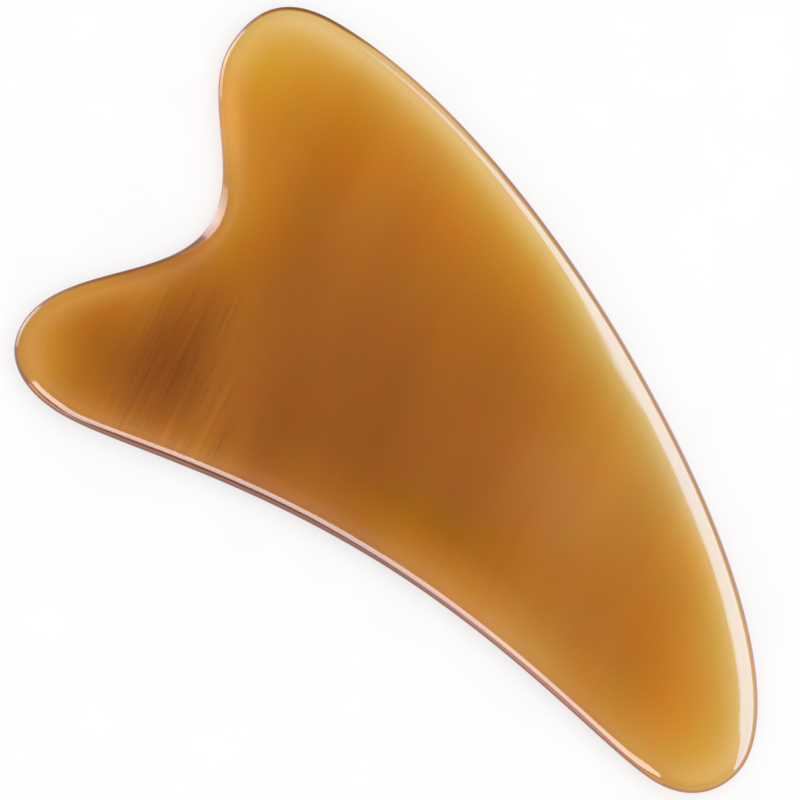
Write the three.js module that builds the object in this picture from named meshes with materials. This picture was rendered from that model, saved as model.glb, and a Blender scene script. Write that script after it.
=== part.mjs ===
// Gua sha scraper: one solid board of polished horn, with a forked end, a long curved back,
// a hollow belly and one rounded tip. It is a single piece, with nothing fixed to it.
//
// Units are millimetres. The board lies flat: +Z is up through its thickness, +X runs from
// the fork to the tip, and +Y points to the curved back. The origin is under the middle of
// the board's bounding box, on the surface that the board lies on.

import * as THREE from 'three';

// Driving dimensions.
const LENGTH = 100; // along X, from the fork's lower prong to the tip
const WIDTH = 56.6; // along Y, from the crown of the upper prong to the two lowest points
const THICKNESS = 4.6; // between the two flat faces
const EDGE_RADIUS = 2; // small round of the edge that meets the skin, in section
const SHOULDER_WIDTH = 5; // from the outermost edge in to where a face turns flat

// How finely the round stretches are divided.
const OUTLINE_SPACING = 1.7;
const EDGE_STEPS = 4;
const SHOULDER_STEPS = 3;

// The outline, anticlockwise from above. A knot stands wherever the outline runs along X or
// Y, and one more shapes the long back. Heading is the direction of travel there, in degrees
// from +X. Behind and ahead are the lengths of the curve's handles on either side of it.
const KNOTS = {
  notch: { x: -37.3, y: 0.2, heading: 270, behind: 7, ahead: 8.2 },
  lowerProng: { x: -LENGTH / 2, y: -21.5, heading: 270, behind: 8.4, ahead: 4.7 },
  lowerProngSole: { x: -40.8, y: -WIDTH / 2, heading: 0, behind: 5, ahead: 7.1 },
  belly: { x: 0.9, y: -23.4, heading: 0, behind: 20.3, ahead: 19.1 },
  tipSole: { x: 41.9, y: -WIDTH / 2, heading: 0, behind: 6.2, ahead: 6 },
  tip: { x: LENGTH / 2, y: -20.9, heading: 90, behind: 3, ahead: 6.6 },
  back: { x: 12.5, y: 13.5, heading: 152, behind: 31.7, ahead: 5.5 },
  crown: { x: -36, y: WIDTH / 2, heading: 180, behind: 20, ahead: 3.7 },
  upperProng: { x: -46.4, y: 19.2, heading: 270, behind: 8.8, ahead: 6.7 },
};

const hornMaterial = new THREE.MeshStandardMaterial({
  color: 0xb8742a,
  roughness: 0.12,
  metalness: 0,
});

// The end of a knot's handle: a positive length is ahead of the knot, a negative one behind.
function handleEnd(knot, length) {
  const heading = THREE.MathUtils.degToRad(knot.heading);
  return {
    x: knot.x + length * Math.cos(heading),
    y: knot.y + length * Math.sin(heading),
  };
}

// One closed, smooth path through all the knots.
function outlinePath() {
  const knots = Object.values(KNOTS);
  const path = new THREE.Path();
  path.moveTo(knots[0].x, knots[0].y);
  knots.forEach((knot, i) => {
    const next = knots[(i + 1) % knots.length];
    const leaving = handleEnd(knot, knot.ahead);
    const arriving = handleEnd(next, -next.behind);
    path.bezierCurveTo(leaving.x, leaving.y, arriving.x, arriving.y, next.x, next.y);
  });
  return path;
}

// The upper half of the edge in section: the small round, then a wide, shallow arc that
// touches it and ends level with the flat face. Inset is measured in from the outermost
// edge, and rise from half way up the thickness.
function upperEdgeSection() {
  const halfThickness = THICKNESS / 2;
  const shoulderRun = SHOULDER_WIDTH - EDGE_RADIUS;
  const shoulderRadius =
    (shoulderRun ** 2 + halfThickness ** 2 - EDGE_RADIUS ** 2) / (2 * (halfThickness - EDGE_RADIUS));
  const sharedTilt = Math.asin(shoulderRun / (shoulderRadius - EDGE_RADIUS));

  const section = [];
  for (let i = 0; i < EDGE_STEPS; i++) {
    const tilt = THREE.MathUtils.lerp(Math.PI / 2, sharedTilt, i / EDGE_STEPS);
    section.push({
      inset: EDGE_RADIUS * (1 - Math.sin(tilt)),
      rise: EDGE_RADIUS * Math.cos(tilt),
    });
  }
  for (let i = 0; i <= SHOULDER_STEPS; i++) {
    const tilt = THREE.MathUtils.lerp(sharedTilt, 0, i / SHOULDER_STEPS);
    section.push({
      inset: SHOULDER_WIDTH - shoulderRadius * Math.sin(tilt),
      rise: halfThickness - shoulderRadius * (1 - Math.cos(tilt)),
    });
  }
  return section;
}

// The whole edge in section, from the lower face round the edge to the upper face.
function edgeSection() {
  const upper = upperEdgeSection();
  const lower = upper
    .slice(1)
    .reverse()
    .map(({ inset, rise }) => ({ inset, rise: -rise }));
  return [...lower, ...upper];
}

// Stations evenly spaced along each curve of the outline. Every knot is one of them, so the
// board's length and width come out exact.
function outlineStations() {
  return outlinePath().curves.flatMap((curve) => {
    const steps = Math.ceil(curve.getLength() / OUTLINE_SPACING);
    return Array.from({ length: steps }, (_, i) => ({
      point: curve.getPointAt(i / steps),
      heading: curve.getTangentAt(i / steps),
    }));
  });
}

// The outline moved in by an inset, square to its heading.
function insetOutline(stations, inset) {
  return stations.map(
    ({ point, heading }) =>
      new THREE.Vector2(point.x - heading.y * inset, point.y + heading.x * inset),
  );
}

// The board's skin: one ring of points for each point of the section, joined by quads, with
// a flat face closing each end.
function boardGeometry() {
  const stations = outlineStations();
  const ringSize = stations.length;
  const rings = edgeSection().map(({ inset, rise }) => ({
    outline: insetOutline(stations, inset),
    height: THICKNESS / 2 + rise,
  }));

  const positions = rings.flatMap(({ outline, height }) =>
    outline.flatMap(({ x, y }) => [x, y, height]),
  );

  const triangles = [];
  for (let ring = 0; ring < rings.length - 1; ring++) {
    const low = ring * ringSize;
    const high = low + ringSize;
    for (let i = 0; i < ringSize; i++) {
      const next = (i + 1) % ringSize;
      triangles.push(low + i, low + next, high + next);
      triangles.push(low + i, high + next, high + i);
    }
  }

  const topRing = (rings.length - 1) * ringSize;
  const faceOutline = rings[0].outline;
  for (const [a, b, c] of THREE.ShapeUtils.triangulateShape(faceOutline, [])) {
    triangles.push(c, b, a);
    triangles.push(topRing + a, topRing + b, topRing + c);
  }

  const geometry = new THREE.BufferGeometry();
  geometry.setAttribute('position', new THREE.Float32BufferAttribute(positions, 3));
  geometry.setIndex(triangles);
  geometry.computeVertexNormals();
  return geometry;
}

function scraperBoard() {
  const board = new THREE.Mesh(boardGeometry(), hornMaterial);
  board.name = 'scraper_board';
  return board;
}

const scraper = new THREE.Group();
scraper.add(scraperBoard());

export default scraper;
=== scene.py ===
"""A gua sha scraper: one board of polished amber horn, lying on a pale studio floor.

Everything is in metres, in the part's own frame. +X runs from the fork to the tip, +Y points to
the long curved back, and +Z is up through the board's thickness.
"""

import math

import bmesh
import bpy
import numpy as np
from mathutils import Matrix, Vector, noise
from mathutils.geometry import delaunay_2d_cdt


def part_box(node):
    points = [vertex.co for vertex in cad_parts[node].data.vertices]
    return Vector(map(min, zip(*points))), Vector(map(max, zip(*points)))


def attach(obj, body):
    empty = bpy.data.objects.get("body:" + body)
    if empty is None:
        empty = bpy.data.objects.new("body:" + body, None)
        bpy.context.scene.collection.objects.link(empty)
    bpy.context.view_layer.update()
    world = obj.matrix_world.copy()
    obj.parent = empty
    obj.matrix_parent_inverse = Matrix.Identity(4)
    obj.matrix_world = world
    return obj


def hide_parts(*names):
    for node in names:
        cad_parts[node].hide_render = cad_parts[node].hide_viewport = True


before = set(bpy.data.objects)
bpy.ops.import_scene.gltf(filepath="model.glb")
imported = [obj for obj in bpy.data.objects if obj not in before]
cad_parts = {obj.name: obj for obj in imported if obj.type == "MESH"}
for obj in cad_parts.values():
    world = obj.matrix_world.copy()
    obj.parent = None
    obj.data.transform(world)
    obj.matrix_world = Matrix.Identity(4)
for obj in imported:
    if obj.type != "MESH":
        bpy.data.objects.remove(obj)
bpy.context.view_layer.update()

MM = 0.001
CAD_NODE = "scraper_board"
LOW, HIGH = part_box(CAD_NODE)
CENTRE = (LOW + HIGH) / 2

# The edge in section: a small round that touches the skin, then a wide, shallow shoulder.
EDGE_RADIUS = 2 * MM
SHOULDER_WIDTH = 5 * MM
EDGE_STEPS = 18
SHOULDER_STEPS = 10

# At the root of the notch the edge is bevelled instead: the root's place in millimetres, how far
# from it the bevel fades out, how far in the bevel keeps half its slope, and how sharply the slope
# drops there.
NOTCH_ROOT = (-37.5, 1.0)
NOTCH_REACH = 7 * MM
BEVEL_WIDTH = 1.34 * MM
BEVEL_SHARPNESS = 4
BEVEL_SAMPLES = 400

# How near two points of the CAD board count as one, and as being at the same height.
SAME_PLACE = 0.001 * MM
SAME_HEIGHT = 0.01 * MM

# How fine the board's mesh is, and how near a face's inner points come to its border.
RIM_STATIONS = 700
FACE_SPACING = 1.1 * MM
BORDER_CLEARANCE = 0.6 * FACE_SPACING

# The gentle waves that hand polishing leaves in both faces: how deep and how long they are, how
# strongly the noise that makes them shows, and how far above or below the middle of that noise
# each face takes its own slice of it.
WAVE_DEPTH = 0.035 * MM
WAVE_LENGTH = 7 * MM
WAVE_CONTRAST = 0.6
WAVE_HEIGHT = 3.7

# The golden light that leaks into the horn through its rim, strongest where the rim faces the
# key light. Tones run from 0, black, to 1, white.
GLOW_REACH = 3 * MM
GLOW_TONE = 0.20
GLOW_TOWARDS_KEY = (0.07, 0.11)
GLOW_LEVEL_WIDTH = 1.8 * MM

# The darker line along the steepest part of the rim: places round the board in millimetres, the
# share of the tone that the line takes away there, and how far in it reaches in millimetres. They
# were chosen from lists of the colours along the rim, the photograph's and the render's.
# Painted shade: the line darkens the horn's colour on the steep rim, which is lit less than the
# faces.
RIM_PAINTED_SHADE = [
    ((-42, 27.5), 0.78, 0.64),
    ((-36, 28), 0.74, 0.58),
    ((-31, 28), 0.42, 0.46),
    ((-20, 26), 0.45, 0.48),
    ((-10, 23), 0.55, 0.58),
    ((6, 17), 0.52, 0.62),
    ((36, -1), 0.48, 0.62),
    ((50, -19), 0.38, 0.52),
    ((42, -28), 0.30, 0.55),
    ((30, -26), 0.38, 0.80),
    ((4, -23.5), 0.50, 0.95),
    ((-20, -25), 0.52, 1.05),
    ((-40, -28), 0.50, 0.95),
    ((-48, -26), 0.40, 0.60),
    ((-50, -20), 0.35, 0.50),
    ((-44, -11), 0.46, 0.55),
    ((-38, -3), 0.52, 0.50),
    ((-37.5, -1), 0.25, 0.90),
    ((-37.5, 2), 0.12, 1.10),
    ((-38.5, 4.5), 0.08, 0.70),
    ((-41, 9), 0.15, 0.35),
    ((-46, 17), 0.35, 0.45),
    ((-45.5, 24), 0.55, 0.58),
]
RIM_PAINTED_SHADE_FADE = 0.40 * MM

BODY_TONE = 0.463
BODY_TINT = (1, 1, 0.95)

# Clouds of lighter and darker pigment in the horn: the middle of each in millimetres, its reach
# along and across, how far it is turned in degrees, and how much it adds to the tone. A
# least-squares program fitted these numbers to the photograph, and they were then rounded, with
# some strengths changed slightly.
CLOUDS = {
    "core": ((-9, -13), (30, 37), 0, -0.091),
    "neck": ((-33, -17), (8, 16), 0, -0.130),
    "neck_stroke": ((-28, -19), (7, 14), 36, -0.034),
    "lower_prong": ((-42, -18), (9, 14), 29, -0.090),
    "prong_end": ((-45, -24), (5, 8), 0, 0.055),
    # The next two clouds are painted shade: they darken the notch's lower side, whose rim faces
    # away from the light, and take back some of the rim glow there.
    "notch_side_painted_shade": ((-38, -7), (14, 9), 45, -0.073),
    "notch_edge_painted_shade": ((-44, -7), (13, 6), 25, -0.126),
    "waist": ((-36, 8), (8, 9), 0, 0.030),
    "upper_prong": ((-42, 19), (13, 14), 0, 0.072),
    "prong_edge": ((-42, 9), (10, 4), -55, 0.110),
    "crown_side": ((-46, 17), (5, 8), 0, 0.046),
    "left_layer": ((-25, 2), (9, 19), 8, -0.035),
    "left_stripe": ((-22, 6), (5, 20), 6, 0.021),
    "left_belly": ((-18, -19), (6, 16), 12, -0.038),
    "middle_stripe": ((-5, 0), (6, 27), 21, 0.016),
    "right_stripe": ((21, -3), (6, 13), 12, 0.028),
    "haze": ((14, -5), (9, 18), -4, 0.037),
    "belly": ((10, -13), (13, 12), -6, -0.028),
    "right_belly": ((13, -21), (36, 5), -6, 0.040),
    "sole": ((37, -18), (10, 8), -24, -0.032),
    "tip": ((42, -21), (13, 18), 16, 0.071),
    "tip_edge": ((47, -18), (7, 13), 12, -0.031),
}

# Where the horn is more golden or more grey than its tone alone makes it: places like those of the
# clouds, and the shares of red, green and blue that each adds to the colour. All but the prong
# rim's numbers come from fits of the same kind, rounded and changed slightly.
TINTS = {
    "amber": ((-25, 17), (29, 9), -10, (0.07, -0.02, -0.58)),
    "crown": ((-41, 19), (7, 9), 0, (0.02, 0, -0.19)),
    "prong_edge": ((-37, 11), (15, 7), -35, (0.05, -0.01, -0.28)),
    "prong_rim": ((-43, 10), (12, 5), -60, (0.19, -0.02, -0.20)),
    "notch": ((-35, -2), (24, 11), 60, (0.02, 0, -0.38)),
    "lower_prong": ((-43, -19), (8, 16), 20, (0.01, 0, -0.31)),
    "left_layer": ((-21, 16), (10, 12), 0, (0, 0, 0.32)),
    "middle": ((-3, 10), (10, 20), -15, (0, -0.01, -0.19)),
    "belly": ((3, -16), (18, 5), 8, (-0.02, 0.03, -0.51)),
    "back_layer": ((12, 9), (27, 4), -27, (-0.07, 0.03, 0.25)),
    "haze": ((15, -6), (13, 9), -28, (-0.03, 0, 0.60)),
    "haze_edge": ((24, 1), (9, 10), 0, (-0.03, 0.01, 0.36)),
    "right_belly": ((19, -24), (17, 9), 48, (-0.02, 0.01, 0.40)),
    "tip": ((38, -18), (17, 7), -41, (0.08, -0.02, -0.36)),
}

# The slow drift that makes the clouds' outlines uneven: the size of its lumps, and how far it
# shifts a place along X and Y between its lowest and its highest. All are in millimetres, as is
# every other size and distance in the horn's material.
DRIFT_SIZE = (14, 22, 1)
DRIFT_SHIFT = (5, 3, 0)

# How far the horn's fibres lean back from +Y, in degrees.
GRAIN_TURN = 5

# The clouds of the neck, and the share of them from which the grain is at its strongest.
NECK_CLOUDS = ("neck", "neck_stroke")
NECK_FULL = 0.6

# Layers along the grain: the size of each, how much it changes the tone everywhere, and how much
# more it does so in the neck.
LAYERS = [
    ((5, 60, 1), 0.03, 0.02),
    ((1.5, 26, 1), 0.012, 0.10),
    ((0.45, 13, 1), 0.008, 0.10),
]

# Single dark fibres: their size, the noise at which one begins and at which it is darkest, and how
# much tone it takes away outside the neck and in it.
FIBRE_SIZE = (0.26, 9, 1)
FIBRE_NOISE = (0.62, 0.76)
FIBRE_DEPTHS = (0.008, 0.085)

# Faint lines that polishing has left along the rim: their size, in from the rim and along it, the
# insets between which they fade out, and how much they change the tone.
RIM_TRACE_SIZE = (0.45, 30, 30)
RIM_TRACE_INSETS = (1, 7)
RIM_TRACE_STRENGTH = 0.03

# Specks, at most one for each cell of an uneven grid: the size of a cell, where a speck starts to
# fade and where it ends, the random numbers that give the two extreme shades, and those shades.
SPECK_CELL = 11
SPECK_RADII = (0.1, 0.22)
SPECK_RANDOM = (0.2, 0.8)
SPECK_SHADES = (-0.04, 0.09)

# Patches that are a little redder or greener than the rest.
BLUSH_SIZE = (5, 9, 1)
BLUSH = (0.14, -0.16, 0.1)

# The polish: smears that change its roughness, hairline scratches, which lie a little off the
# grain, and a ripple as high as a number of scratches are deep.
SMEAR_SIZE = (9, 5, 5)
SMEAR_NOISE = (0.3, 0.7)
SMEAR_ROUGHNESS = (0.06, 0.10)
SCRATCH_TURN = GRAIN_TURN - 3
SCRATCH_SIZE = (0.16, 9, 2)
SCRATCH_NOISE = (0.66, 0.8)
SCRATCH_ROUGHNESS = 0.05
SCRATCH_DEPTH = 0.0005 * MM
RIPPLE_SIZE = (2.5, 2.5, 2.5)
RIPPLE_HEIGHT = 8
HORN_IOR = 1.54

# The horn's colour at each tone, as 8-bit sRGB. Those from 0.36 to 0.68 follow the photograph's
# mean colours, which a program measured.
HORN_COLOURS = [
    (0.12, (74, 34, 10)),
    (0.20, (104, 50, 16)),
    (0.30, (135, 72, 24)),
    (0.36, (147, 81, 27)),
    (0.40, (157, 90, 32)),
    (0.45, (173, 103, 34)),
    (0.50, (186, 118, 41)),
    (0.56, (198, 134, 49)),
    (0.62, (207, 152, 65)),
    (0.68, (216, 170, 90)),
    (0.76, (226, 190, 128)),
]

# The floor, a wide round table that is partly lit from within. It lies just under the board, and
# the patch of it that the board covers lies between the two.
FLOOR_RADIUS = 3
FLOOR_SIDES = 96
FLOOR_DEPTH = 0.04 * MM
PATCH_DEPTH = 0.02 * MM
FLOOR_SPECKLE_SIZE = (9, 9, 9)
FLOOR_SHADES = [(0.3, (153, 153, 153)), (0.7, (157, 157, 157))]
FLOOR_ROUGHNESS = 0.9
FLOOR_SPECULAR = 0.1
FLOOR_GLOW = 0.645


def srgb(colour):
    """An 8-bit sRGB colour as linear red, green, blue and alpha."""
    shares = [c / 255 for c in colour]
    linear = [s / 12.92 if s <= 0.04045 else ((s + 0.055) / 1.055) ** 2.4 for s in shares]
    return (*linear, 1)


# ---------------------------------------------------------------- the board's shape


def cad_rim():
    """The CAD board's outermost ring of points, anticlockwise from above."""
    solid = bmesh.new()
    solid.from_mesh(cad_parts[CAD_NODE].data)
    bmesh.ops.remove_doubles(solid, verts=solid.verts, dist=SAME_PLACE)
    ring = {v for v in solid.verts if abs(v.co.z - CENTRE.z) < SAME_HEIGHT}
    here = min(ring, key=lambda v: v.co.x)
    points = []
    while here is not None:
        points.append(here.co.xy.copy())
        ring.remove(here)
        beside = (edge.other_vert(here) for edge in here.link_edges)
        here = next((v for v in beside if v in ring), None)
    solid.free()
    points = np.array(points)
    ahead = np.roll(points, -1, axis=0)
    turns_left = np.sum(points[:, 0] * ahead[:, 1] - points[:, 1] * ahead[:, 0]) > 0
    return points if turns_left else points[::-1]


def smooth_loop(points, count):
    """Even samples of the closed cubic spline through the points, and its unit headings."""
    size = len(points)
    gaps = np.linalg.norm(np.roll(points, -1, axis=0) - points, axis=1)
    slopes = (np.roll(points, -1, axis=0) - points) / gaps[:, None]
    system = np.diag(2 * (gaps + np.roll(gaps, 1)))
    for i in range(size):
        system[i, (i + 1) % size] = gaps[i]
        system[i, i - 1] = gaps[i - 1]
    bends = np.linalg.solve(system, 6 * (slopes - np.roll(slopes, 1, axis=0)))

    starts = np.concatenate([[0], np.cumsum(gaps)])
    along = np.linspace(0, starts[-1], count, endpoint=False)
    piece = np.clip(np.searchsorted(starts, along, side="right") - 1, 0, size - 1)
    after = (piece + 1) % size
    gap = gaps[piece][:, None]
    run = (along - starts[piece])[:, None]
    left = gap - run
    samples = (
        (bends[piece] * left**3 + bends[after] * run**3) / (6 * gap)
        + (points[piece] / gap - bends[piece] * gap / 6) * left
        + (points[after] / gap - bends[after] * gap / 6) * run
    )
    headings = (
        (bends[after] * run**2 - bends[piece] * left**2) / (2 * gap)
        + slopes[piece]
        - (bends[after] - bends[piece]) * gap / 6
    )
    return samples, headings / np.linalg.norm(headings, axis=1)[:, None]


def upper_edge_section():
    """The edge's upper half as (inset from the rim, rise above mid-thickness), rim first."""
    half = HIGH.z - CENTRE.z
    run = SHOULDER_WIDTH - EDGE_RADIUS
    shoulder_radius = (run**2 + half**2 - EDGE_RADIUS**2) / (2 * (half - EDGE_RADIUS))
    shared_tilt = math.asin(run / (shoulder_radius - EDGE_RADIUS))
    round_part = [
        (EDGE_RADIUS * (1 - math.sin(tilt)), EDGE_RADIUS * math.cos(tilt))
        for tilt in np.linspace(math.pi / 2, shared_tilt, EDGE_STEPS, endpoint=False)
    ]
    shoulder = [
        (
            SHOULDER_WIDTH - shoulder_radius * math.sin(tilt),
            half - shoulder_radius * (1 - math.cos(tilt)),
        )
        for tilt in np.linspace(shared_tilt, 0, SHOULDER_STEPS + 1)
    ]
    return round_part + shoulder


def face_net(border):
    """Points inside a face's border on a triangular grid, and triangles over border and grid."""
    row_height = FACE_SPACING * math.sqrt(3) / 2
    grid = []
    for row, y in enumerate(np.arange(LOW.y, HIGH.y, row_height)):
        offset = FACE_SPACING / 2 * (row % 2)
        grid += [(x + offset, y) for x in np.arange(LOW.x, HIGH.x, FACE_SPACING)]
    grid = np.array(grid)
    to_border = np.min(np.linalg.norm(grid[:, None] - border[None], axis=2), axis=1)
    grid = grid[(to_border > BORDER_CLEARANCE) & inside(grid, border)]
    corners = [Vector(p) for p in np.vstack([border, grid])]
    size = len(border)
    edges = [(i, (i + 1) % size) for i in range(size)]
    net = delaunay_2d_cdt(corners, edges, [], 1, 1e-9)
    original = [sources[0] for sources in net[3]]
    triangles = [[original[i] for i in triangle] for triangle in net[2]]
    return grid, triangles


def inside(points, border):
    """Which points lie inside a closed border, by counting the edges to the right of each."""
    x, y = points[:, 0][:, None], points[:, 1][:, None]
    start, end = border, np.roll(border, -1, axis=0)
    spans = (start[:, 1] > y) != (end[:, 1] > y)
    rise = np.where(start[:, 1] == end[:, 1], 1, end[:, 1] - start[:, 1])
    crossing = start[:, 0] + (y - start[:, 1]) * (end[:, 0] - start[:, 0]) / rise
    return np.sum(spans & (crossing > x), axis=1) % 2 == 1


def wave(x, y, side):
    """How far hand polishing has lowered a face at a place, from 0 to WAVE_DEPTH."""
    place = Vector((x / WAVE_LENGTH, y / WAVE_LENGTH, WAVE_HEIGHT * side))
    return WAVE_DEPTH * min(max(0.5 + WAVE_CONTRAST * noise.noise(place), 0), 1)


def bevel_rise(inset):
    """The rise above mid-thickness of the notch's bevelled edge at an inset."""
    steps = np.linspace(0, SHOULDER_WIDTH, BEVEL_SAMPLES)
    slopes = 1 / (1 + (steps / BEVEL_WIDTH) ** BEVEL_SHARPNESS)
    rises = np.concatenate([[0], np.cumsum(slopes[1:] + slopes[:-1])])
    return (HIGH.z - CENTRE.z) * np.interp(inset, steps, rises / rises[-1])


def near_notch(rim):
    """1 at the root of the notch, fading smoothly to 0 along the rim on either side of it."""
    away = np.linalg.norm(rim - np.array(NOTCH_ROOT) * MM, axis=1) / NOTCH_REACH
    near = np.clip(1 - away, 0, 1)
    return near**2 * (3 - 2 * near)


def rim_glow(places, rim, outward):
    """The tone that light leaking in through the rim adds at each place."""
    strength = GLOW_TONE + outward @ np.array(GLOW_TOWARDS_KEY)
    step = np.mean(np.linalg.norm(np.roll(rim, -1, axis=0) - rim, axis=1))
    glow = np.zeros(len(places))
    for i, place in enumerate(places):
        reach = np.exp(-np.linalg.norm(rim - place, axis=1) / GLOW_REACH)
        glow[i] = reach @ strength * step / (2 * GLOW_REACH)
    return glow


def rim_painted_shade(rim, inset):
    """The share of the tone that the painted shade along the rim takes away at an inset, for each
    rim station.
    """
    places, shares, reaches = (np.array(column) for column in zip(*RIM_PAINTED_SHADE))
    stations = [np.argmin(np.linalg.norm(rim - place * MM, axis=1)) for place in places]
    count = len(rim)
    share = np.interp(range(count), stations, shares, period=count)
    reach = np.interp(range(count), stations, reaches, period=count) * MM
    return share * np.clip((reach - inset) / RIM_PAINTED_SHADE_FADE, 0, 1)


def board_mesh():
    """The polished board: fine rings round its edge, joined to a net over each face."""
    rim, headings = smooth_loop(cad_rim(), RIM_STATIONS)
    inward = np.stack([-headings[:, 1], headings[:, 0]], axis=1)
    upper = upper_edge_section()
    section = [(inset, -rise) for inset, rise in reversed(upper[1:])] + upper

    verts, insets, lines, glow_places = [], [], [], []
    for inset, rise in section:
        ring = rim + inward * inset
        bevel = math.copysign(bevel_rise(inset), rise)
        heights = CENTRE.z + rise + near_notch(rim) * (bevel - rise)
        verts += [(x, y, z) for (x, y), z in zip(ring, heights)]
        insets += [inset] * RIM_STATIONS
        # The painted shade that darkens this ring of the steep rim.
        lines += list(rim_painted_shade(rim, inset))
        glow_places += list(rim + inward * max(inset, GLOW_LEVEL_WIDTH))
    border = rim + inward * SHOULDER_WIDTH
    grid, triangles = face_net(border)
    depth = [float(np.min(np.linalg.norm(rim - p, axis=1))) for p in grid]
    under_start = len(verts)
    verts += [(x, y, LOW.z) for x, y in grid]
    over_start = len(verts)
    verts += [(x, y, HIGH.z) for x, y in grid]
    insets += depth + depth
    lines += [0] * (2 * len(grid))
    glow_places += list(grid) + list(grid)

    faces = []
    for ring in range(len(section) - 1):
        start = ring * RIM_STATIONS
        for i in range(RIM_STATIONS):
            j = (i + 1) % RIM_STATIONS
            faces.append((start + i, start + j, start + RIM_STATIONS + j, start + RIM_STATIONS + i))
    top_ring = (len(section) - 1) * RIM_STATIONS

    def on_face(i, ring_start, grid_start):
        return ring_start + i if i < RIM_STATIONS else grid_start + i - RIM_STATIONS

    for triangle in triangles:
        faces.append([on_face(i, top_ring, over_start) for i in triangle])
        faces.append([on_face(i, 0, under_start) for i in reversed(triangle)])

    polished = []
    for x, y, z in verts:
        side = 1 if z > CENTRE.z else -1
        share = abs(z - CENTRE.z) / (HIGH.z - CENTRE.z)
        polished.append((x, y, z - side * share**2 * wave(x, y, side)))

    mesh = bpy.data.meshes.new("polished_board")
    mesh.from_pydata(polished, [], faces)
    mesh.update()
    mesh.shade_smooth()
    add_attribute(mesh, "rim_glow", rim_glow(glow_places, rim, -inward))
    add_attribute(mesh, "rim_painted_shade", lines)
    add_attribute(mesh, "rim_inset", np.array(insets) / MM)
    return mesh


def add_attribute(mesh, name, values):
    attribute = mesh.attributes.new(name, "FLOAT", "POINT")
    attribute.data.foreach_set("value", np.asarray(values, np.float32))


# ---------------------------------------------------------------- materials


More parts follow.
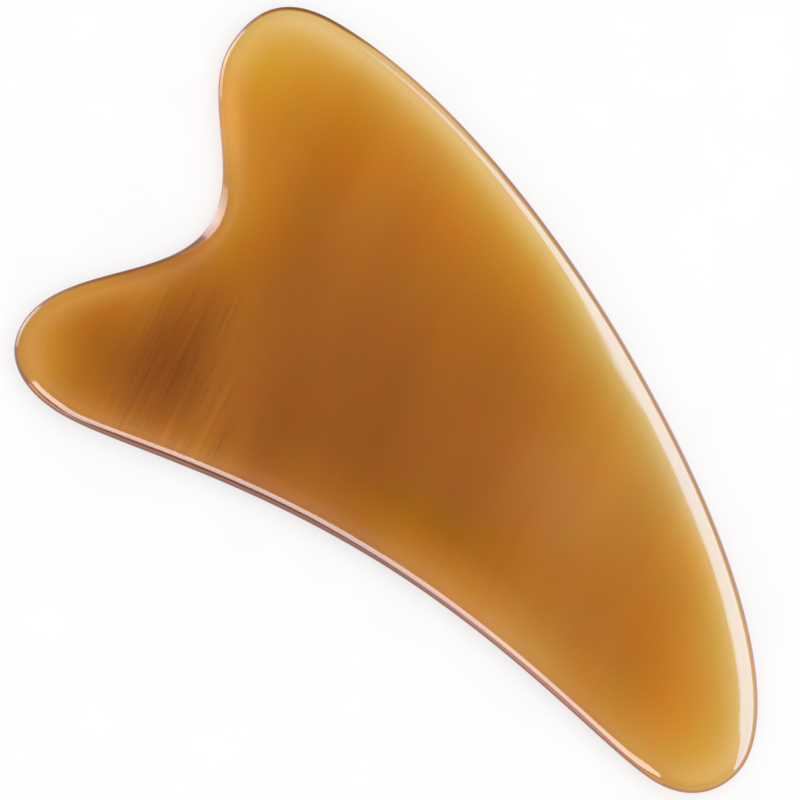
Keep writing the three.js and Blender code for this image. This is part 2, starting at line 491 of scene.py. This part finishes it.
class Shader:
    """A material's node tree, with short ways to add what the materials here use."""

    def __init__(self, name):
        self.material = bpy.data.materials.new(name)
        self.material.use_nodes = True
        self.tree = self.material.node_tree
        self.tree.nodes.clear()
        output = self.tree.nodes.new("ShaderNodeOutputMaterial")
        self.surface = self.tree.nodes.new("ShaderNodeBsdfPrincipled")
        self.link(self.surface.outputs[0], output.inputs["Surface"])

    def link(self, source, socket):
        if hasattr(source, "node"):
            self.tree.links.new(source, socket)
        else:
            socket.default_value = source

    def math(self, operation, first, second):
        node = self.tree.nodes.new("ShaderNodeMath")
        node.operation = operation
        self.link(first, node.inputs[0])
        self.link(second, node.inputs[1])
        return node.outputs[0]

    def vector(self, operation, first, second):
        node = self.tree.nodes.new("ShaderNodeVectorMath")
        node.operation = operation
        self.link(first, node.inputs[0])
        self.link(second, node.inputs["Scale" if operation == "SCALE" else 1])
        return node.outputs[0]

    def millimetres(self):
        """The place on the object in millimetres, in the part's own frame."""
        place = self.tree.nodes.new("ShaderNodeTexCoord").outputs["Object"]
        return self.vector("SCALE", place, 1 / MM)

    def attribute(self, name):
        node = self.tree.nodes.new("ShaderNodeAttribute")
        node.attribute_name = name
        return node.outputs["Fac"]

    def noise(self, place, size, detail):
        """Noise from 0 to 1, with features of a size in millimetres along X, Y and Z."""
        node = self.tree.nodes.new("ShaderNodeTexNoise")
        self.link(self.vector("DIVIDE", place, size), node.inputs["Vector"])
        node.inputs["Scale"].default_value = 1
        node.inputs["Detail"].default_value = detail
        return node.outputs["Fac"]

    def turned(self, place, turn, middle=(0, 0), reach=(1, 1)):
        """The place as seen from a middle in the XY plane, turned in degrees, in units of reach."""
        mapping = self.tree.nodes.new("ShaderNodeMapping")
        mapping.vector_type = "TEXTURE"
        mapping.inputs["Location"].default_value = (*middle, 0)
        mapping.inputs["Rotation"].default_value = (0, 0, math.radians(turn))
        mapping.inputs["Scale"].default_value = (*reach, 1)
        self.link(place, mapping.inputs["Vector"])
        return mapping.outputs[0]

    def cloud(self, place, middle, reach, turn):
        """1 in the middle of an ellipse in the XY plane, fading smoothly to 0 at its rim."""
        ball = self.tree.nodes.new("ShaderNodeTexGradient")
        ball.gradient_type = "SPHERICAL"
        self.link(self.turned(place, turn, middle, reach), ball.inputs[0])
        return self.blend(ball.outputs["Fac"], 0, 1, 0, 1, smooth=True)

    def blend(self, value, start, end, low, high, smooth=False):
        """low where the value is at start, high where it is at end, and a blend in between."""
        node = self.tree.nodes.new("ShaderNodeMapRange")
        node.interpolation_type = "SMOOTHSTEP" if smooth else "LINEAR"
        self.link(value, node.inputs["Value"])
        limits = {"From Min": start, "From Max": end, "To Min": low, "To Max": high}
        for name, limit in limits.items():
            self.link(limit, node.inputs[name])
        return node.outputs["Result"]

    def combined(self, first, place):
        """A place whose X is another value, and whose Y and Z are the place's own X and Y."""
        parts = self.tree.nodes.new("ShaderNodeSeparateXYZ")
        self.link(place, parts.inputs[0])
        joined = self.tree.nodes.new("ShaderNodeCombineXYZ")
        for value, socket in zip((first, parts.outputs["X"], parts.outputs["Y"]), joined.inputs):
            self.link(value, socket)
        return joined.outputs[0]

    def cells(self, place, size):
        """Each uneven cell's distance from its middle, in cells, and its random number."""
        node = self.tree.nodes.new("ShaderNodeTexVoronoi")
        self.link(place, node.inputs["Vector"])
        node.inputs["Scale"].default_value = 1 / size
        parts = self.tree.nodes.new("ShaderNodeSeparateColor")
        self.link(node.outputs["Color"], parts.inputs[0])
        return {"distance": node.outputs["Distance"], "random": parts.outputs[0]}

    def bump(self, height, distance):
        """Raise the surface by a height from 0 to 1, in units of a distance in metres."""
        node = self.tree.nodes.new("ShaderNodeBump")
        node.inputs["Distance"].default_value = distance
        self.link(height, node.inputs["Height"])
        self.link(node.outputs[0], self.surface.inputs["Normal"])

    def ramp(self, value, stops):
        node = self.tree.nodes.new("ShaderNodeValToRGB")
        elements = node.color_ramp.elements
        while len(elements) < len(stops):
            elements.new(1)
        for element, (position, colour) in zip(elements, stops):
            element.position = position
            element.color = srgb(colour)
        self.link(value, node.inputs["Fac"])
        return node.outputs["Color"]


def pigment_and_painted_light(shader, flat, along_grain):
    """The horn's tone before its grain, with painted rim glow and painted shade in it, its tint,
    and how far a place is in the neck.
    """
    drift = shader.math("SUBTRACT", shader.noise(flat, DRIFT_SIZE, detail=1), 0.5)
    warped = shader.vector("ADD", flat, shader.vector("SCALE", DRIFT_SHIFT, drift))
    tone = shader.math("ADD", shader.attribute("rim_glow"), BODY_TONE)
    clouds = {}
    for name, (middle, reach, turn, strength) in CLOUDS.items():
        clouds[name] = shader.cloud(warped, middle, reach, turn)
        tone = shader.math("ADD", tone, shader.math("MULTIPLY", clouds[name], strength))
    tint = BODY_TINT
    for middle, reach, turn, shares in TINTS.values():
        cloud = shader.cloud(warped, middle, reach, turn)
        tint = shader.vector("ADD", tint, shader.vector("SCALE", shares, cloud))
    blush = shader.math("SUBTRACT", shader.noise(along_grain, BLUSH_SIZE, detail=3), 0.5)
    blush = shader.vector("ADD", (1, 1, 1), shader.vector("SCALE", BLUSH, blush))
    neck = shader.math("MAXIMUM", *(clouds[name] for name in NECK_CLOUDS))
    return tone, shader.vector("MULTIPLY", tint, blush), shader.blend(neck, 0, NECK_FULL, 0, 1)


def grain(shader, along_grain, neck):
    """The tone that layers and single fibres along the grain add, mostly in the neck."""
    tone = 0
    for size, everywhere, in_neck in LAYERS:
        layers = shader.math("SUBTRACT", shader.noise(along_grain, size, detail=3), 0.5)
        strength = shader.blend(neck, 0, 1, everywhere, everywhere + in_neck)
        tone = shader.math("ADD", tone, shader.math("MULTIPLY", layers, strength))
    fibres = shader.noise(along_grain, FIBRE_SIZE, detail=1)
    fibres = shader.blend(fibres, *FIBRE_NOISE, 0, 1)
    fibres = shader.math("MULTIPLY", fibres, shader.blend(neck, 0, 1, *FIBRE_DEPTHS))
    return shader.math("SUBTRACT", tone, fibres)


def rim_traces(shader, place):
    """The tone that the faint polishing lines along the rim add."""
    inset = shader.attribute("rim_inset")
    lines = shader.noise(shader.combined(inset, place), RIM_TRACE_SIZE, detail=2)
    strength = shader.blend(inset, *RIM_TRACE_INSETS, RIM_TRACE_STRENGTH, 0)
    return shader.math("MULTIPLY", shader.math("SUBTRACT", lines, 0.5), strength)


def specks(shader, flat):
    """The tone that the specks add: some are paler than the horn and some are darker."""
    cells = shader.cells(flat, SPECK_CELL)
    radii = (radius / SPECK_CELL for radius in SPECK_RADII)
    speck = shader.blend(cells["distance"], *radii, 1, 0)
    shade = shader.blend(cells["random"], *SPECK_RANDOM, *SPECK_SHADES)
    return shader.math("MULTIPLY", speck, shade)


def polish(shader, place):
    """Nearly even gloss, with faint smears, a ripple, and hairline scratches along the grain."""
    smears = shader.noise(place, SMEAR_SIZE, detail=3)
    scratches = shader.noise(shader.turned(place, SCRATCH_TURN), SCRATCH_SIZE, detail=1)
    scratches = shader.blend(scratches, *SCRATCH_NOISE, 0, 1)
    roughness = shader.blend(smears, *SMEAR_NOISE, *SMEAR_ROUGHNESS)
    scratched = shader.math("MULTIPLY", scratches, SCRATCH_ROUGHNESS)
    roughness = shader.math("ADD", roughness, scratched)
    shader.link(roughness, shader.surface.inputs["Roughness"])
    ripple = shader.math("MULTIPLY", shader.noise(place, RIPPLE_SIZE, detail=1), RIPPLE_HEIGHT)
    shader.bump(shader.math("SUBTRACT", ripple, scratches), SCRATCH_DEPTH)
    shader.surface.inputs["IOR"].default_value = HORN_IOR


def horn_material():
    """Polished horn: golden where light leaks in at the rim, amber brown inside, finely fibred."""
    shader = Shader("polished_horn")
    place = shader.millimetres()
    flat = shader.vector("MULTIPLY", place, (1, 1, 0))
    along_grain = shader.turned(flat, GRAIN_TURN)
    tone, tint, neck = pigment_and_painted_light(shader, flat, along_grain)
    for detail in (
        grain(shader, along_grain, neck),
        rim_traces(shader, place),
        specks(shader, flat),
    ):
        tone = shader.math("ADD", tone, detail)
    # Painted shade: the tone is darkened along the steep rim.
    unshaded = shader.math("SUBTRACT", 1, shader.attribute("rim_painted_shade"))
    tone = shader.math("MULTIPLY", tone, unshaded)
    colour = shader.vector("MULTIPLY", shader.ramp(tone, HORN_COLOURS), tint)
    shader.link(colour, shader.surface.inputs["Base Color"])
    polish(shader, place)
    return shader.material


def floor_material():
    """A light table: pale, matt and partly lit from within, so that shadows on it stay soft."""
    shader = Shader("pale_floor")
    speckle = shader.noise(shader.millimetres(), FLOOR_SPECKLE_SIZE, detail=4)
    shader.link(shader.ramp(speckle, FLOOR_SHADES), shader.surface.inputs["Base Color"])
    shader.surface.inputs["Roughness"].default_value = FLOOR_ROUGHNESS
    shader.surface.inputs["Specular IOR Level"].default_value = FLOOR_SPECULAR
    shader.surface.inputs["Emission Color"].default_value = (1, 1, 1, 1)
    shader.surface.inputs["Emission Strength"].default_value = FLOOR_GLOW
    return shader.material


# ---------------------------------------------------------------- the studio


def link_object(name, data):
    made = bpy.data.objects.new(name, data)
    bpy.context.scene.collection.objects.link(made)
    return made


def make_board():
    board = link_object("horn_board", board_mesh())
    board.data.materials.append(horn_material())
    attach(board, "root")
    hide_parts(CAD_NODE)
    return board


def make_floor():
    """A round floor, far wider than any view of it, and the patch of it that the board covers.

    Reflections pass through the floor to the mirrored softboxes below it, but not through the
    patch, which the underside of the rim faces.
    """
    disc = bmesh.new()
    bmesh.ops.create_circle(disc, cap_ends=True, segments=FLOOR_SIDES, radius=FLOOR_RADIUS)
    mesh = bpy.data.meshes.new("floor")
    disc.to_mesh(mesh)
    disc.free()
    floor = link_object("floor", mesh)
    floor.location.z = LOW.z - FLOOR_DEPTH
    floor.visible_glossy = False

    rim, _ = smooth_loop(cad_rim(), RIM_STATIONS)
    covered = bpy.data.meshes.new("covered_floor")
    covered.from_pydata([(x, y, 0) for x, y in rim], [], [range(RIM_STATIONS)])
    patch = link_object("covered_floor", covered)
    patch.location.z = LOW.z - PATCH_DEPTH

    material = floor_material()
    for part in (floor, patch):
        part.data.materials.append(material)


# Softboxes that show only as reflections. Each has a brightness, a colour and its outline: at an
# azimuth from +X towards +Y, its lowest and highest points as angles above the horizon, all in
# degrees, and its share of the brightness there. The part of one below the horizon is what a glossy
# table would mirror. The largest ones' outlines began as the photograph's highlights, which a
# program traced back to the lamps, and were then simplified and changed.
SOFTBOXES = {
    "key": (
        10.6,
        (158, 206, 255),
        [
            (-12, -6, 12, 1),
            (3, -6, 56, 1),
            (12, -5, 64, 1),
            (30, 1, 66.5, 1),
            (45, 3, 66.5, 1),
            (55.5, 0, 65.5, 1),
            (57.3, 0, 71, 1),
            (59.5, 0, 66, 1),
            (63, 0, 65, 1),
            (66, 0, 57, 1),
            (71, 3, 44, 0.95),
            (78, 11, 38, 0.7),
            (92, 20, 38, 0.3),
        ],
    ),
    "fill": (
        9.3,
        (242, 245, 255),
        [
            (-116, 10, 43, 1),
            (-98, 7, 42, 1),
            (-95, 1, 36, 1),
            (-92, -5, 32, 1),
            (-89, -3, 35, 1),
            (-86.5, 8, 43, 1),
            (-84, 14, 47, 1),
            (-80, 16, 40, 1),
        ],
    ),
    "fill_mirrored": (
        8,
        (255, 188, 160),
        [
            (-116, -25, -9, 1),
            (-94, -25, -12, 0.9),
            (-90, -25, -13, 0.5),
            (-80, -25, -11, 0.55),
            (-77, -25, -12, 0.6),
        ],
    ),
    "side": (
        6.7,
        (240, 241, 240),
        [
            (155, -36, -7, 0.1),
            (165, -36, -7, 0.2),
            (167.5, -36, -7, 0.7),
            (184, -36, -7, 1),
            (206, -36, -7, 0.45),
        ],
    ),
    "key_mirrored": (
        1.9,
        (228, 236, 255),
        [
            (8, -80, -20, 0.5),
            (25, -80, -20, 0.9),
            (60, -80, -20, 1),
            (74, -80, -20, 0.6),
            (84, -80, -20, 0.5),
        ],
    ),
    "brown_card": (0.7, (240, 205, 165), [(91, -80, -4, 1), (150, -80, -4, 1)]),
    "wall": (0.5, (255, 248, 235), [(100, 6, 42, 1), (165, 6, 42, 1)]),
    "far_wall": (0.45, (255, 248, 235), [(-72, 4, 40, 1), (-18, 4, 40, 1)]),
}
SOFTBOX_DISTANCE = 0.9
SOFTBOX_COLUMNS = 90
SOFTBOX_ROWS = 12


def make_softbox(name, brightness, colour, outline):
    """A curved panel, part of a sphere round the board, that lights nothing but reflections."""
    ends, lows, highs, shares = (np.array(column) for column in zip(*outline))
    azimuths = np.linspace(ends[0], ends[-1], SOFTBOX_COLUMNS + 1)
    verts = []
    for row in range(SOFTBOX_ROWS + 1):
        heights = np.interp(azimuths, ends, lows + (highs - lows) * row / SOFTBOX_ROWS)
        for azimuth, height in zip(np.radians(azimuths), np.radians(heights)):
            level = math.cos(height)
            verts.append(
                (
                    CENTRE.x + SOFTBOX_DISTANCE * level * math.cos(azimuth),
                    CENTRE.y + SOFTBOX_DISTANCE * level * math.sin(azimuth),
                    CENTRE.z + SOFTBOX_DISTANCE * math.sin(height),
                )
            )
    faces = []
    across = SOFTBOX_COLUMNS + 1
    for row in range(SOFTBOX_ROWS):
        for column in range(SOFTBOX_COLUMNS):
            corner = row * across + column
            faces.append((corner, corner + 1, corner + across + 1, corner + across))
    mesh = bpy.data.meshes.new(name)
    mesh.from_pydata(verts, [], faces)
    add_attribute(mesh, "share", np.tile(np.interp(azimuths, ends, shares), SOFTBOX_ROWS + 1))
    panel = link_object(name + "_softbox", mesh)

    # Light that reached the panel by way of a matt surface would put bright rings on the floor.
    shader = Shader(name + "_light")
    matt_bounces = shader.tree.nodes.new("ShaderNodeLightPath").outputs["Diffuse Depth"]
    direct = shader.math("LESS_THAN", matt_bounces, 0.5)
    glow = shader.math("MULTIPLY", shader.attribute("share"), brightness)
    shader.surface.inputs["Base Color"].default_value = (0, 0, 0, 1)
    shader.surface.inputs["Emission Color"].default_value = srgb(colour)
    shader.link(shader.math("MULTIPLY", glow, direct), shader.surface.inputs["Emission Strength"])
    mesh.materials.append(shader.material)
    panel.visible_camera = False
    panel.visible_diffuse = False
    panel.visible_shadow = False
    panel.visible_transmission = False


# The room's brightness, as linear red, green and blue, by its angle in degrees from straight up.
# Overhead it is dark, so that the flat face shows its own colour.
ROOM = [
    (4, (0.02, 0.02, 0.02)),
    (10, (0.08, 0.08, 0.08)),
    (16, (0.30, 0.30, 0.30)),
    (23, (0.70, 0.70, 0.70)),
    (50, (0.65, 0.65, 0.65)),
    (88, (0.50, 0.50, 0.50)),
    (94, (0.92, 0.87, 0.93)),
]
BACKDROP = (0.86, 0.86, 0.86)

# The overhead light: how wide it is, its power in watts, and its place.
OVERHEAD_WIDTH = 1.6
OVERHEAD_POWER = 11
OVERHEAD_PLACE = (CENTRE.x + 0.1, CENTRE.y + 0.2, 1.3)


def make_overhead_light():
    """Even light from overhead that doesn't show in the polish."""
    overhead = bpy.data.lights.new("overhead", "AREA")
    overhead.shape = "DISK"
    overhead.size = OVERHEAD_WIDTH
    overhead.energy = OVERHEAD_POWER
    lamp = link_object("overhead", overhead)
    lamp.location = OVERHEAD_PLACE
    lamp.rotation_euler = (CENTRE - lamp.location).to_track_quat("-Z", "Y").to_euler()
    lamp.visible_glossy = False


def make_room():
    """A room whose brightness goes by height, behind a plain pale backdrop for the camera."""
    world = bpy.data.worlds.new("room")
    bpy.context.scene.world = world
    world.use_nodes = True
    nodes, links = world.node_tree.nodes, world.node_tree.links
    direction = nodes.new("ShaderNodeTexCoord").outputs["Generated"]
    parts = nodes.new("ShaderNodeSeparateXYZ")
    links.new(direction, parts.inputs[0])
    from_zenith = nodes.new("ShaderNodeMath")
    from_zenith.operation = "ARCCOSINE"
    links.new(parts.outputs["Z"], from_zenith.inputs[0])
    half_turns = nodes.new("ShaderNodeMath")
    half_turns.operation = "DIVIDE"
    links.new(from_zenith.outputs[0], half_turns.inputs[0])
    half_turns.inputs[1].default_value = math.pi
    ramp = nodes.new("ShaderNodeValToRGB")
    links.new(half_turns.outputs[0], ramp.inputs["Fac"])
    elements = ramp.color_ramp.elements
    while len(elements) < len(ROOM):
        elements.new(1)
    for element, (angle, colour) in zip(elements, ROOM):
        element.position = angle / 180
        element.color = (*colour, 1)
    backdrop = nodes.new("ShaderNodeMix")
    backdrop.data_type = "RGBA"
    links.new(nodes.new("ShaderNodeLightPath").outputs["Is Camera Ray"], backdrop.inputs["Factor"])
    links.new(ramp.outputs["Color"], backdrop.inputs["A"])
    backdrop.inputs["B"].default_value = (*BACKDROP, 1)
    links.new(backdrop.outputs["Result"], nodes["Background"].inputs["Color"])


# The picture looks straight down at the board, which fills its height and lies left of centre.
PICTURE_TURN = math.radians(31.75)
PICTURE_LENS = 200
PICTURE_SENSOR = 36
BOARD_HEIGHT_SHARE = 0.983
LEFT_SHARE = 0.0175


def make_camera(board):
    """The camera, straight above, as far up as makes the board as tall in the picture as wanted."""
    data = bpy.data.cameras.new("camera")
    data.lens = PICTURE_LENS
    data.sensor_width = PICTURE_SENSOR
    camera = link_object("camera", data)
    right = Vector((math.cos(PICTURE_TURN), math.sin(PICTURE_TURN), 0))
    up = Vector((-right.y, right.x, 0))
    spans = []
    for axis in (right, up):
        along = [vertex.co.dot(axis) for vertex in board.data.vertices]
        spans.append((min(along), max(along)))
    view_height = (spans[1][1] - spans[1][0]) / BOARD_HEIGHT_SHARE
    distance = view_height * PICTURE_LENS / PICTURE_SENSOR
    aim = right * (sum(spans[0]) / 2 + LEFT_SHARE * view_height) + up * (sum(spans[1]) / 2)
    camera.location = aim + Vector((0, 0, CENTRE.z + distance))
    camera.rotation_euler = (0, 0, PICTURE_TURN)
    bpy.context.scene.camera = camera


board = make_board()
make_floor()
for softbox_name, settings in SOFTBOXES.items():
    make_softbox(softbox_name, *settings)
make_overhead_light()
make_room()
make_camera(board)
bpy.context.scene.view_settings.view_transform = "Standard"
